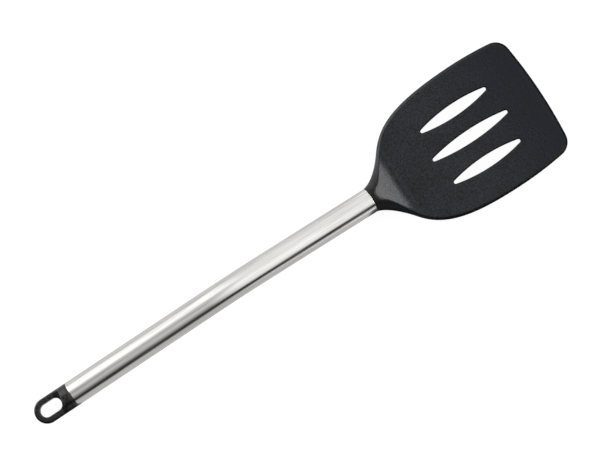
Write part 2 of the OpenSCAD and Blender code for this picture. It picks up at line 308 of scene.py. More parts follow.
class Shell:
    """Points and faces of one moulded piece, with a rim value that is 1 on rounded edges."""

    def __init__(self):
        self.points, self.rims, self.faces = [], [], []

    def add(self, points, rims):
        start = len(self.points)
        self.points += [tuple(p) for p in points]
        self.rims += list(rims)
        return list(range(start, start + len(points)))

    def grid(self, rows, rims, closed=False):
        """Faces between rows of points that have the same number of points."""
        ids = [self.add(row, rim) for row, rim in zip(rows, rims)]
        for one, two in zip(ids, ids[1:]):
            pairs = list(zip(one, one[1:] + one[:1], two[1:] + two[:1], two))
            self.faces += pairs if closed else pairs[:-1]

    def opening(self, rings):
        """Rounded wall of an opening, from face to face."""
        inner = [1.0] * (len(rings) - 2)
        rims = [[rim] * len(rings[0]) for rim in [0.0] + inner + [0.0]]
        self.grid(rings, rims, closed=True)

    def disc(self, ring):
        self.faces.append(self.add(ring, [0.0] * len(ring)))

    def patch(self, outer, holes, fill, place):
        """Triangles that fill a flat loop with holes, each point then placed in space."""
        fill = np.asarray(fill, float)
        keep = inside(fill, outer) & clear_of(fill, outer, FILL_GAP)
        for hole in holes:
            keep &= ~inside(fill, hole) & clear_of(fill, hole, FILL_GAP)
        flat, edges = [], []
        for loop in [outer] + holes:
            first, count = len(flat), len(loop)
            flat += [Vector(p) / MM for p in loop]
            edges += [(first + i, first + (i + 1) % count) for i in range(count)]
        flat += [Vector(p) / MM for p in fill[keep]]
        points, _, faces, _, _, _ = delaunay_2d_cdt(flat, edges, [], 0, 1e-7)
        points = [p * MM for p in points]
        middles = [sum((points[i] for i in f), Vector((0, 0))) / 3 for f in faces]
        wanted = inside(middles, outer)
        for hole in holes:
            wanted &= ~inside(middles, hole)
        ids = self.add([place(p) for p in points], [0.0] * len(points))
        self.faces += [[ids[i] for i in f] for f, good in zip(faces, wanted) if good]

    def turned(self, profile):
        """Closed turned form along X, from a profile of places and radii."""
        turns = even(0, 2 * pi, TURN_STEPS)[:-1]
        rows = [[(x, r * sin(a), r * cos(a)) for a in turns] for x, r in profile]
        self.grid(rows, [[0.0] * TURN_STEPS] * len(rows), closed=True)
        self.disc(rows[0])
        self.disc(rows[-1])

    def moved(self, matrix, start):
        """Moves the points from the number start on."""
        self.points[start:] = [tuple(matrix @ Vector(p)) for p in self.points[start:]]

    def piece(self, name, matrix):
        """Closes the shell and turns it into an object at the origin."""
        mesh = bpy.data.meshes.new(name)
        mesh.from_pydata([matrix @ Vector(p) for p in self.points], [], self.faces)
        mesh.attributes.new("rim", "FLOAT", "POINT").data.foreach_set("value", self.rims)
        work = bmesh.new()
        work.from_mesh(mesh)
        bmesh.ops.remove_doubles(work, verts=work.verts, dist=POINT_GAP)
        bmesh.ops.dissolve_degenerate(work, edges=work.edges, dist=1e-7)
        bmesh.ops.recalc_face_normals(work, faces=work.faces)
        for face in work.faces:
            face.smooth = True
        for edge in work.edges:
            edge.smooth = edge.calc_face_angle(0.0) < CREASE
        gaps = sum(1 for edge in work.edges if not edge.is_manifold)
        work.to_mesh(mesh)
        work.free()
        if gaps:
            print(f"{name}: {gaps} edges are open or shared")
        return place_mesh(name, mesh)


def place_mesh(name, mesh):
    """Object at the origin that shows a finished mesh."""
    piece = bpy.data.objects.new(name, mesh)
    bpy.context.scene.collection.objects.link(piece)
    return piece


def add_stem(shell, stems, bore_r, length):
    """Ribbed stem along +X from the origin: two round lands, cross ribs and a grooved core."""
    first = len(shell.points)
    r = bore_r - stems.clearance
    core, soft, tuck = bore_r - stems.bond_t, 0.2 * MM, 0.3 * MM
    land, land_two = stems.land_len, length - stems.land_len
    groove = (length - stems.bond_len) / 2
    groove_end = groove + stems.bond_len
    rib, rib_end = groove - stems.rib_t, groove_end + stems.rib_t
    shell.turned([(-tuck, r / 2), (-tuck, r), (land - soft, r), (land, r - soft), (land, r / 2)])
    shell.turned([(rib, core / 2), (rib, r - soft), (rib + soft, r), (groove, r),
                  (groove, core), (groove_end, core), (groove_end, r), (rib_end - soft, r),
                  (rib_end, r - soft), (rib_end, core / 2)])
    shell.turned([(land_two, r / 2), (land_two, r - soft), (land_two + soft, r),
                  (length - stems.lead_in, r), (length, r - stems.lead_in), (length, r / 2)])
    reach = asin(stems.rib_t / 2 / r)
    for low, high in ((land - tuck, groove - tuck), (groove_end + tuck, land_two + tuck)):
        for turn in (0, QUARTER):
            ring = [(r * cos(a), r * sin(a)) for middle in (turn, turn + pi)
                    for a in even(middle - reach, middle + reach, RIB_STEPS)]
            rows = [[(x, y, z) for y, z in ring] for x in (low, high)]
            shell.grid(rows, [[0.0] * len(ring)] * 2, closed=True)
            shell.disc(rows[0])
            shell.disc(rows[1])
    return first


# The moulded head

# Shares that shape the head, as in its solid: the plan's two curves, the ramp's roundings,
# and how the sections lean, dip and crease along the neck
FLANK_WIDTH_SHARE = 0.548
NECK_START_SHARE, NECK_END_SHARE = 0.40, 0.49
SHOULDER_START_SHARE, SHOULDER_END_SHARE = 0.277, 0.566
RAMP_TOP_BLEND_SHARE, RAMP_FOOT_BLEND_SHARE = 0.16, 0.28
LEAN_SHARE = 0.65
WAIST_DIP_SHARE = 0.24
SHOULDER_CREASE_SHARE = 0.45
UNDER_SHOULDER_SHARE = 0.78
# Where the rim starts to turn square to the outline and over how much, in neck lengths
SQUARE_START, SQUARE_RUN = 0.85, 0.3
# Steps along the outline's stretches, round the rim's two roundings and round a slot
NECK_STEPS, SHOULDER_STEPS, SIDE_STEPS, CORNER_STEPS, FRONT_STEPS = 44, 60, 24, 16, 28
UPPER_STEPS, LOWER_STEPS = 14, 10
BOW_STEPS, TIP_STEPS, SLOT_EDGE_STEPS = 44, 12, 5
# Share of the first curve at which the first station stands, just ahead of the tube
FIRST_STATION = 0.007
# Filling points in millimetres: from, to, to each side, and the steps along and across
NECK_FILL = (1.2, 31, 41.25, 0.7, 1.5)
BLADE_FILL = (31.5, 124, 43.75, 2.5, 2.5)


class HeadForm:
    """Side view, plan and sections of the head, in the blade's frame."""

    def __init__(self, settings, neck_z):
        self.blade, self.neck, self.slots = settings.blade, settings.neck, settings.slots
        self.r = settings.tube.diameter / 2
        self.neck_z = neck_z
        self.tilt = self.blade.tilt
        top = self.tube_line(self.neck.collar_len, 1)
        self.ramp_run = (top - self.blade.root_t) / tan(self.neck.ramp_angle)
        self.ramp_foot = self.neck.collar_len + self.ramp_run

    def tube_line(self, x, side):
        """Height of the tube's top or bottom line, carried on over the neck."""
        return self.neck_z + side * self.r / cos(self.tilt) - x * tan(self.tilt)

    def top(self, x):
        blade, neck = self.blade, self.neck
        share = max(0.0, x - neck.length) / (blade.length - neck.length)
        return (self.tube_line(x, 1)
                + kink(x, neck.collar_len, tan(self.tilt) - tan(neck.ramp_angle),
                       self.ramp_run * RAMP_TOP_BLEND_SHARE)
                + kink(x, self.ramp_foot, tan(neck.ramp_angle),
                       self.ramp_run * RAMP_FOOT_BLEND_SHARE)
                - (blade.root_t - blade.front_t) * share ** 2)

    def bottom(self, x):
        neck = self.neck
        if x >= neck.heel_x + neck.heel_blend:
            return 0.0
        return self.tube_line(x, -1) + kink(x, neck.heel_x, tan(self.tilt), neck.heel_blend)

    def neck_stations(self):
        """Places and inward ways along the neck and its shoulder, up to the widest place."""
        neck, half = self.neck, self.blade.width / 2
        start, flank = Vector((0, self.r)), Vector((neck.flank_x, half * FLANK_WIDTH_SHARE))
        widest = Vector((self.blade.widest_x, half))
        chord = widest.x - flank.x
        flank_way = heading(neck.flank_angle)
        first = [start,
                 start + heading(neck.flare_angle) * neck.flank_x * NECK_START_SHARE,
                 flank - flank_way * neck.flank_x * NECK_END_SHARE, flank]
        second = [flank, flank + flank_way * chord * SHOULDER_START_SHARE,
                  widest - Vector((chord * SHOULDER_END_SHARE, 0)), widest]
        places = [cubic(*first, s) for s in [FIRST_STATION] + even(0, 1, NECK_STEPS, 1)]
        places += [cubic(*second, s) for s in even(0, 1, SHOULDER_STEPS, 1)]
        stations = []
        for i, p in enumerate(places):
            way = places[min(i + 1, len(places) - 1)] - places[max(i - 1, 0)]
            way.normalize()
            square = smooth((p.x / neck.length - SQUARE_START) / SQUARE_RUN)
            inward = Vector((0, -1)).lerp(Vector((way.y, -way.x)), square)
            stations.append((p, inward.normalized()))
        return stations, widest

    def outline(self):
        """Half of the plan, from the tube to the middle of the front: places and inward ways."""
        blade = self.blade
        stations, widest = self.neck_stations()
        run = blade.length + 2 * MM - widest.x
        end = widest + Vector((run, -run * tan(blade.side_angle) / 2))
        bend = widest + Vector((run / 2, 0))

        def side(s):
            way = (1 - s) * (bend - widest) + s * (end - bend)
            way.normalize()
            at = (1 - s) ** 2 * widest + 2 * (1 - s) * s * bend + s * s * end
            return at, Vector((way.y, -way.x))

        # The place where the side meets the corner's arc is found by halving
        front_r = (widest.y ** 2 + blade.front_bow ** 2) / (2 * blade.front_bow)
        centre = Vector((blade.length - front_r, 0))
        low, high = 0.0, 1.0
        for _ in range(HALVINGS):
            s = (low + high) / 2
            at, inward = side(s)
            past = (at + inward * blade.corner_r - centre).length > front_r - blade.corner_r
            low, high = (low, s) if past else (s, high)
        at, inward = side(s)
        corner = at + inward * blade.corner_r
        from_turn = atan2(-inward.y, -inward.x)
        to_turn = atan2(corner.y - centre.y, corner.x - centre.x)

        stations += [side(s * i / SIDE_STEPS) for i in range(1, SIDE_STEPS + 1)]
        stations += [(corner + heading(a) * blade.corner_r, -heading(a))
                     for a in even(from_turn, to_turn, CORNER_STEPS, 1)]
        stations += [(centre + heading(a) * front_r, -heading(a))
                     for a in even(to_turn, 0, FRONT_STEPS, 1)]
        return stations

    def row(self, place, inward, first, uppers, lowers):
        """Points of one station, from the top's edge round the rim to the underside's."""
        s = place.x / self.neck.length
        lean = self.r * sin(self.tilt) * (1 - smooth(s / LEAN_SHARE))
        swell = sin(pi * s) if s < 1 else 0.0
        waist = 0.5 - WAIST_DIP_SHARE * swell
        crease = 1 + SHOULDER_CREASE_SHARE * (swell if s < 0.5 else 1)
        over = place.y if first else mix(self.r, self.blade.rim_w, smooth(s))
        under = (place.y if first
                 else mix(self.r, self.blade.rim_w, smooth(s / UNDER_SHOULDER_SHARE)))
        steps = [(over * (1 - sin(a) ** crease), waist + (1 - waist) * cos(a) ** crease)
                 for a in uppers]
        steps += [(under * (1 - sin(a)), waist - waist * cos(a)) for a in lowers]
        points = []
        for inset, rise in steps:
            at = place + inward * inset
            points.append((at.x + lean * (2 * rise - 1), at.y,
                           mix(self.bottom(at.x - lean), self.top(at.x + lean), rise)))
        return points

    def slot_ring(self, side, grow):
        """Plan of a slot, grown by some length all round."""
        slots = self.slots
        length = slots.side_len if side else slots.middle_len
        tip_x = length / 2 - slots.tip_r
        bow_r = ((tip_x ** 2 + slots.width ** 2 / 4 - slots.tip_r ** 2)
                 / (slots.width - 2 * slots.tip_r))
        bow_y = bow_r - slots.width / 2
        reach = atan(tip_x / bow_y)
        half = [Vector((0, -bow_y)) + (bow_r + grow) * Vector((sin(a), cos(a)))
                for a in even(-reach, reach, BOW_STEPS)]
        half += [Vector((tip_x, 0)) + (slots.tip_r + grow) * heading(a)
                 for a in even(QUARTER - reach, reach - QUARTER, TIP_STEPS, 1)[:-1]]
        turn = Matrix.Rotation(side * slots.fan, 2)
        middle = Vector((slots.place, side * slots.pitch))
        return [middle + turn @ p for p in half + [-p for p in half]]


def build_head(settings, lie):
    """Mesh of the blade, neck and tang."""
    form, slots, seam = HeadForm(settings, lie.neck_z), settings.slots, settings.neck.seam
    shell = Shell()
    uppers, lowers = even(0, QUARTER, UPPER_STEPS), even(QUARTER, 0, LOWER_STEPS, 1)
    turns = uppers + [pi - a for a in lowers]
    to_tube = Matrix.Translation((0, 0, lie.neck_z)) @ Matrix.Rotation(form.tilt, 4, "Y")
    rows = []
    for x, drop in ((0.0, seam), (SEAM_SHARE * seam, SEAM_SHARE * seam)):
        r = form.r - drop
        rows.append([tuple(to_tube @ Vector((x, r * sin(a), r * cos(a)))) for a in turns])
    ends = len(rows)
    rows += [form.row(p, inward, i == 0, uppers, lowers)
             for i, (p, inward) in enumerate(form.outline())]
    rims = []
    for row in rows:
        blade_share = smooth(2 * row[0][0] / settings.neck.length - 1)
        rims.append([blade_share * sin(a) for a in turns])
    for side in (1, -1):
        shell.grid([[(x, side * y, z) for x, y, z in row] for row in rows], rims)
    end = rows[0]
    shell.disc(end + [(x, -y, z) for x, y, z in end[-2:0:-1]])

    fill = lattice(*NECK_FILL) + lattice(*BLADE_FILL)
    holes = [form.slot_ring(side, slots.edge_r) for side in (-1, 0, 1)]
    for column, line in ((0, form.top), (-1, form.bottom)):
        edge = [(row[column][0], row[column][1]) for row in rows[ends:]]
        outer = edge + [(x, -y) for x, y in edge[-2:0:-1]]
        shell.patch(outer, holes, fill, lambda p: (p[0], p[1], line(p[0])))
    for side in (-1, 0, 1):
        upper, lower = [[[(p.x, p.y, line(p.x) + way * drop) for p in form.slot_ring(side, grow)]
                         for grow, drop in rounding(slots.edge_r, SLOT_EDGE_STEPS)]
                        for line, way in ((form.top, -1), (form.bottom, 1))]
        shell.opening(upper + lower[::-1])
    first = add_stem(shell, settings.stems, form.r - settings.tube.wall,
                     settings.stems.tang_len)
    shell.moved(to_tube @ Matrix.Rotation(pi, 4, "Y"), first)
    return shell.piece("turner_head_moulding", lie.blade)


# The end cap

# Steps round a quarter of a section and of the loop's end, along the loop, the hollow, the
# wall and its rounded edge, along the collar, and round the hole, its sides and its edge
SECTION_STEPS, LOOP_END_STEPS = 30, 40
STRETCH_STEPS = (13, 15, 3, 8)
COLLAR_STEPS = 3
HOLE_STEPS, HOLE_SIDE_STEPS, HOLE_EDGE_STEPS = 24, 8, 7
# Filling points in millimetres: from, to, to each side, and the steps along and across
CAP_FILL = (-25.6, 0, 7.5, 0.5, 0.5)


class CapForm:
    """Sections of the end cap, in the cap's frame: the loop, the hollow and the collar."""

    def __init__(self, settings):
        self.cap = settings.cap
        self.r = settings.tube.diameter / 2
        self.flat = self.cap.loop_t / 2
        self.cove_x = -self.cap.collar - self.cap.cove_r
        self.loop_x = self.r - self.cap.length
        self.cove_end = self.cove_x + self.cap.cove_r * QUARTER
        self.wall_end = (self.cove_end + self.r - self.cap.collar_edge
                         - self.flat - self.cap.cove_r)
        self.edge_end = self.wall_end + self.cap.collar_edge * QUARTER

    def side(self, t):
        """Place and height of the top line at the length t along it."""
        cap = self.cap
        if t <= self.cove_x:
            return t, self.flat
        if t <= self.cove_end:
            a = (t - self.cove_x) / cap.cove_r
            return self.cove_x + cap.cove_r * sin(a), self.flat + cap.cove_r * (1 - cos(a))
        if t <= self.wall_end:
            return -cap.collar, self.flat + cap.cove_r + t - self.cove_end
        a = min((t - self.wall_end) / cap.collar_edge, QUARTER)
        return (-cap.collar + cap.collar_edge * (1 - cos(a)),
                self.r - cap.collar_edge * (1 - sin(a)))

    def along(self, x):
        """Length along the top line up to the place x, on the loop or in the hollow."""
        if x <= self.cove_x:
            return x
        return self.cove_x + self.cap.cove_r * asin((x - self.cove_x) / self.cap.cove_r)

    def flat_half(self, high):
        """Half of the flat top's width in a section of that height."""
        edge = self.cap.edge_r
        return sqrt(max(0.0, (self.r - edge) ** 2 - (high - edge) ** 2))

    def meet(self, high):
        """Angle at which a section's rounded edge meets its round side."""
        return atan2(self.flat_half(high), high - self.cap.edge_r)

    def section(self, high, turns):
        """Quarter of a section, from the flat top's edge out to the widest line."""
        edge, flat, meet = self.cap.edge_r, self.flat_half(high), self.meet(high)
        return [(self.r * sin(a), self.r * cos(a)) if a >= meet - 1e-9
                else (flat + edge * sin(a), high - edge + edge * cos(a)) for a in turns]

    def hole_ring(self, grow):
        """Plan of the oblong hole, grown by some length all round."""
        r = self.cap.hole_w / 2
        near = -self.cap.length + self.r - r + self.cap.hole_len - r
        right, left = [[Vector((x, 0)) + (r + grow) * heading(a)
                        for a in even(start, start + pi, HOLE_STEPS)]
                       for x, start in ((near, -QUARTER), (self.loop_x, QUARTER))]
        between = even(0, 1, HOLE_SIDE_STEPS, 1)[:-1]
        return (right + [right[-1].lerp(left[0], s) for s in between]
                + left + [left[-1].lerp(right[0], s) for s in between])


def build_cap(settings, lie):
    """Mesh of the end cap and its plug."""
    form, cap = CapForm(settings), settings.cap
    shell = Shell()
    turns = even(0, QUARTER, SECTION_STEPS)
    meet = form.meet(form.flat)
    edge_rim = [sin(min(1.0, a / meet) * pi) for a in turns]
    rows, rims, edge = [], [], []
    loop = form.section(form.flat, turns)
    for a in even(pi, QUARTER, LOOP_END_STEPS)[:-1]:
        rows.append([(form.loop_x + y * cos(a), y * sin(a), z) for y, z in loop])
        rims.append(edge_rim)
        edge.append(rows[-1][0][:2])
    stops = (form.loop_x, form.cove_x, form.cove_end, form.wall_end, form.edge_end)
    lengths = [form.loop_x]
    for start, end, count in zip(stops, stops[1:], STRETCH_STEPS):
        lengths += even(start, end, count, 1)
    for t in lengths:
        x, high = form.side(t)
        rows.append([(x, y, z) for y, z in form.section(high, turns)])
        fade = 1 - smooth((t - form.cove_x) / cap.cove_r)
        rims.append([fade * rim for rim in edge_rim])
        edge.append((t, rows[-1][0][1]))
    collar = [(x, 0.0) for x in even(rows[-1][0][0], -cap.seam, COLLAR_STEPS, 1)]
    collar += [(-SEAM_SHARE * cap.seam, SEAM_SHARE * cap.seam), (0.0, cap.seam)]
    for x, drop in collar:
        r = form.r - drop
        rows.append([(x, r * sin(a), r * cos(a)) for a in turns])
        rims.append([0.0] * len(turns))
    for up in (1, -1):
        for side in (1, -1):
            shell.grid([[(x, side * y, up * z) for x, y, z in row] for row in rows], rims)

    hole = [(form.along(p.x), p.y) for p in form.hole_ring(cap.hole_edge_r)]
    outer = edge + [(t, -y) for t, y in edge[-2:0:-1]]

    def place(p, up):
        x, high = form.side(p[0])
        return x, p[1], up * high

    for up in (1, -1):
        shell.patch(outer, [hole], lattice(*CAP_FILL), lambda p: place(p, up))
    rings = [[(p.x, p.y, form.side(form.along(p.x))[1] - drop) for p in form.hole_ring(grow)]
             for grow, drop in rounding(cap.hole_edge_r, HOLE_EDGE_STEPS)]
    shell.opening(rings + [[(x, y, -z) for x, y, z in ring] for ring in rings[::-1]])
    r = form.r - cap.seam
    shell.disc([(0.0, r * sin(a), r * cos(a)) for a in even(0, 2 * pi, 4 * SECTION_STEPS)[:-1]])
    add_stem(shell, settings.stems, form.r - settings.tube.wall, settings.stems.plug_len)
    return shell.piece("hanging_cap_moulding", lie.cap)


# Node trees

def arithmetic(operation, turned=False):
    """Method of a value that makes one math node, with the two sides turned round or not."""
    def method(self, other):
        return self.nodes.math(operation, *((other, self) if turned else (self, other)))
    return method


class Value:
    """Output of a node, which sums and products carry on into further nodes."""
    __add__, __mul__ = arithmetic("ADD"), arithmetic("MULTIPLY")
    __sub__, __rsub__ = arithmetic("SUBTRACT"), arithmetic("SUBTRACT", turned=True)
    __truediv__, __rtruediv__ = arithmetic("DIVIDE"), arithmetic("DIVIDE", turned=True)

    def __init__(self, nodes, socket):
        self.nodes, self.socket = nodes, socket

    def __neg__(self):
        return self * -1.0


class Nodes:
    """Adds nodes to a tree and links them."""

    def __init__(self, tree):
        self.tree = tree

    def put(self, socket, value):
        """Links an output to a socket, or sets the socket to a plain value."""
        source = value.socket if isinstance(value, Value) else value
        if isinstance(source, bpy.types.NodeSocket):
            self.tree.links.new(source, socket)
        elif source is not None:
            socket.default_value = source

    def node(self, kind, *inputs, **settings):
        """New node with its first inputs filled in, but those that are None."""
        node = self.tree.nodes.new(kind)
        for name, value in settings.items():
            setattr(node, name, value)
        for slot, value in enumerate(inputs):
            self.put(node.inputs[slot], value)
        return node

    def add(self, kind, *inputs, out=0, **settings):
        """One output of a new node."""
        return Value(self, self.node(kind, *inputs, **settings).outputs[out])

    def math(self, operation, *values, clamp=False):
        return self.add("ShaderNodeMath", *values, operation=operation, use_clamp=clamp)

    def parts(self, vector):
        """The three parts of a vector."""
        return [Value(self, s) for s in self.node("ShaderNodeSeparateXYZ", vector).outputs]

    def scaled(self, vector, gain):
        return self.add("ShaderNodeVectorMath", vector, None, None, gain, operation="SCALE")

    def blend(self, share, a, b, kind="FLOAT"):
        """Goes from a to b as the share goes from 0 to 1."""
        first, out = (6, 2) if kind == "RGBA" else (2, 0)
        node = self.node("ShaderNodeMix", share, data_type=kind)
        self.put(node.inputs[first], a)
        self.put(node.inputs[first + 1], b)
        return Value(self, node.outputs[out])

    def span(self, value, low, high):
        """Rises smoothly from 0 to 1 while the value goes from low to high."""
        return self.add("ShaderNodeMapRange", value, low, high, 0.0, 1.0,
                        interpolation_type="SMOOTHSTEP")

    def noise(self, vector, scale, detail, rough):
        return self.add("ShaderNodeTexNoise", vector, None, scale, detail, rough)

    def store(self, geometry, name, value, kind="FLOAT"):
        """Geometry that keeps a value on each point under a name."""
        return self.add("GeometryNodeStoreNamedAttribute", geometry, None, name, value,
                        data_type=kind, domain="POINT")

    def read(self, name, kind="FLOAT"):
        """Value that each point keeps under a name."""
        return self.add("GeometryNodeInputNamedAttribute", name, data_type=kind)


def new_tree(name, kind, inputs, outputs):
    """Node group with named inputs and outputs."""
    tree = bpy.data.node_groups.new(name, kind)
    for label, socket_kind, value in inputs:
        socket = tree.interface.new_socket(label, in_out="INPUT",
                                           socket_type="NodeSocket" + socket_kind)
        if value is not None:
            socket.default_value = value
    for label, socket_kind in outputs:
        tree.interface.new_socket(label, in_out="OUTPUT", socket_type="NodeSocket" + socket_kind)
    n = Nodes(tree)
    given = [Value(n, s) for s in n.node("NodeGroupInput").outputs[:len(inputs)]]
    return tree, n, given


# The bent tube, made with geometry nodes

# Distance within which the edges of its two walls become one
WALL_GAP = 5e-6


def tube_tree():
    """Geometry nodes that sweep a tube's two walls along a line with one bend."""
    tree, n, given = new_tree(
        "Bent tube", "GeometryNodeTree",
        [("Outer Radius", "Float", 0.008), ("Wall", "Float", 0.0005),
         ("Front Length", "Float", 0.078), ("Rear Length", "Float", 0.101),
         ("Bend Radius", "Float", 0.19), ("Bend Angle", "Float", 0.2),
         ("Thinning", "Float", 0.00004), ("Stations", "Int", 240), ("Sides", "Int", 96),
         ("Material", "Material", None)],
        [("Geometry", "Geometry")])
    tube_r, wall, front_len, rear_len, bend_r, bend, thinning, stations, sides, steel = given
    arc = bend_r * bend
    total = front_len + arc + rear_len

    # Stations stand closer together near the tube's two ends, where the edges are rounded
    step = n.add("GeometryNodeInputIndex") / (stations - 1.0)
    along = total * (0.5 - n.math("COSINE", step * pi) * 0.5)
    line = n.store(n.add("GeometryNodeMeshLine", stations), "along", along)
    along = n.read("along")

    # Place of a station: straight, then round the bend, then straight again
    past = along - front_len
    in_bend = n.math("MINIMUM", n.math("MAXIMUM", past, 0.0), arc)
    front = n.math("MINIMUM", along, front_len)
    rear = n.math("MAXIMUM", past - arc, 0.0)
    turn = in_bend / bend_r
    sine, cosine = n.math("SINE", turn), n.math("COSINE", turn)
    back = front + bend_r * sine + rear * cosine
    down = bend_r * (1.0 - cosine) + rear * sine
    place = n.add("ShaderNodeCombineXYZ", -back, 0.0, -down)
    path = n.add("GeometryNodeMeshToCurve", n.add("GeometryNodeSetPosition", line, None, place))

    # Half of the wall is rounded off each edge of the tube's ends
    half_wall = wall * 0.5
    to_end = n.math("MINIMUM", along, total - along)
    near = n.math("SUBTRACT", 1.0, to_end / half_wall, clamp=True)
    drop = half_wall * (1.0 - n.math("SQRT", 1.0 - near * near))
    radius = tube_r - thinning * n.math("SINE", in_bend / arc * pi)
    circle = n.add("GeometryNodeCurvePrimitiveCircle", sides, None, None, None, 1.0)
    ring = n.store(circle, "section", n.add("GeometryNodeInputPosition"), "FLOAT_VECTOR")
    outer = n.add("GeometryNodeCurveToMesh", path, ring, radius - drop)
    inner = n.add("GeometryNodeCurveToMesh", path, ring, radius - wall + drop)
    join = n.node("GeometryNodeJoinGeometry", outer)
    n.put(join.inputs[0], n.add("GeometryNodeFlipFaces", inner))
    whole = n.add("GeometryNodeMergeByDistance", join.outputs[0], None, WALL_GAP)

    # The tube as it was before it was bent, for streaks that follow it
    across, up, _ = n.parts(n.read("section", "FLOAT_VECTOR"))
    straight = n.add("ShaderNodeCombineXYZ", along, across * tube_r, up * tube_r)
    whole = n.store(whole, "straight", straight, "FLOAT_VECTOR")
    whole = n.add("GeometryNodeSetShadeSmooth", whole)
    whole = n.add("GeometryNodeRealizeInstances", whole)
    whole = n.add("GeometryNodeSetMaterial", whole, None, steel)
    n.node("NodeGroupOutput", whole)
    return tree


def build_tube(settings, lie, steel):
    """Mesh of the bent tube, from its geometry nodes."""
    tube = settings.tube
    holder = place_mesh("tube_form", bpy.data.meshes.new("tube_form"))
    modifier = holder.modifiers.new("Bent tube", "NODES")
    modifier.node_group = tube_tree()
    values = {"Outer Radius": tube.diameter / 2, "Wall": tube.wall,
              "Front Length": tube.front_len, "Rear Length": tube.rear_len,
              "Bend Radius": tube.bend_r, "Bend Angle": tube.bend,
              "Thinning": tube.thinning, "Material": steel}
    for socket in modifier.node_group.interface.items_tree:
        if socket.in_out == "INPUT" and socket.name in values:
            modifier[socket.identifier] = values[socket.name]
    seen = holder.evaluated_get(bpy.context.evaluated_depsgraph_get())
    mesh = bpy.data.meshes.new_from_object(seen)
    bpy.data.objects.remove(holder)
    if not mesh.polygons:
        raise RuntimeError("the tube's geometry nodes gave no faces")
    mesh.transform(lie.tube)
    mesh.name = "handle_tube_steel"
    return place_mesh("handle_tube_steel", mesh)


# Finishes

# The plastics' shade: clouds in waves per metre, and the weights of the grain and the clouds
CLOUDS = 55.0
GRAIN_WEIGHT, CLOUD_WEIGHT = 1.6, 0.5
# How far the clouds change the roughness, how much painted shade darkens the rounded rims, and how
# much smoother the rims are
CLOUD_ROUGHNESS, RIM_PAINTED_SHADE, RIM_POLISH = 0.12, 0.85, 0.12
# The steel's wider streaks against its fine ones, and how far both change the roughness
WIDE_STREAKS = (0.4, 0.22, 0.22)
STREAK_ROUGHNESS = 0.10
# Where along X the nylon goes over to its darker, bluer front tint and gets smoother, and where
# the painted shade that blackens the neck fades out towards the blade
TOWARDS_FRONT = (0.115, 0.185)
NECK_PAINTED_SHADE = (0.064, 0.080)


def effect_tree(name, **numbers):
    """Shader group from a vector, a colour and numbers to a colour, roughness and relief."""
    return new_tree(name, "ShaderNodeTree",
                    [("Vector", "Vector", None), ("Colour", "Color", None)]
                    + [(label, "Float", value) for label, value in numbers.items()],
                    [("Colour", "Color"), ("Roughness", "Float"), ("Height", "Float")])


def grain_group():
    """Fine eroded grain of moulded plastic, with cloudy shade, and smoother rims darkened by
    painted shade.
    """
    tree, n, given = effect_tree("Moulded grain", Spread=0.2, Grain=0.0004, Detail=3.0,
                                 Roughness=0.5, Rim=0.0)
    place, tint, spread, grain, detail, roughness, rim = given
    fine = n.noise(place, 1.0 / grain, detail, rough=0.6)
    cloud = n.noise(place, CLOUDS, detail=4.0, rough=0.55)
    both = (fine - 0.5) * GRAIN_WEIGHT + (cloud - 0.5) * CLOUD_WEIGHT
    # Painted shade: the rounded rims' colour is darkened
    gain = n.math("MAXIMUM", both * spread + 1.0, 0.0) * (1.0 - rim * RIM_PAINTED_SHADE)
    rough = roughness + (cloud - 0.5) * CLOUD_ROUGHNESS
    rough = n.math("SUBTRACT", rough, rim * RIM_POLISH, clamp=True)
    n.node("NodeGroupOutput", n.scaled(tint, gain), rough, fine)
    return tree


def streak_group():
    """Fine brushed streaks along a straight direction, X."""
    tree, n, given = effect_tree("Brushed streaks", Spread=0.1, Roughness=0.2, Length=0.02,
                                 Width=0.0002)
    place, tint, spread, roughness, length, width = given
    across = 1.0 / width
    scale = n.add("ShaderNodeCombineXYZ", 1.0 / length, across, across)
    place = n.add("ShaderNodeVectorMath", place, scale, operation="MULTIPLY")
    wider = n.add("ShaderNodeVectorMath", place, WIDE_STREAKS, operation="MULTIPLY")
    fine, wide = (n.noise(p, 1.0, detail=2.0, rough=0.5) for p in (place, wider))
    both = (fine - 0.5) + (wide - 0.5)
    rough = n.math("ADD", roughness, both * STREAK_ROUGHNESS, clamp=True)
    n.node("NodeGroupOutput", n.scaled(tint, both * spread + 1.0), rough, fine)
    return tree


def group_of(name, maker):
    """Shared effect, made when it is first asked for."""
    return bpy.data.node_groups.get(name) or maker()


def new_material(name):
    """Material with one principled shader."""
    material = bpy.data.materials.new(name)
    material.use_nodes = True
    material.node_tree.nodes.clear()
    n = Nodes(material.node_tree)
    shader = n.node("ShaderNodeBsdfPrincipled")
    out = n.node("ShaderNodeOutputMaterial", shader.outputs[0])
    out.is_active_output = True
    return material, n, shader


def surface(n, shader, group, depth, bump=1.0, **values):
    """Feeds the shader with the colour, roughness and relief of a shared effect."""
    effect = n.node("ShaderNodeGroup", node_tree=group)
    for name, value in values.items():
        n.put(effect.inputs[name], value)
    relief = n.node("ShaderNodeBump")
    relief.inputs["Strength"].default_value = bump
    relief.inputs["Distance"].default_value = depth
    n.put(relief.inputs["Height"], effect.outputs["Height"])
    n.put(shader.inputs["Base Color"], effect.outputs["Colour"])
    n.put(shader.inputs["Roughness"], effect.outputs["Roughness"])
    n.put(shader.inputs["Normal"], relief.outputs[0])


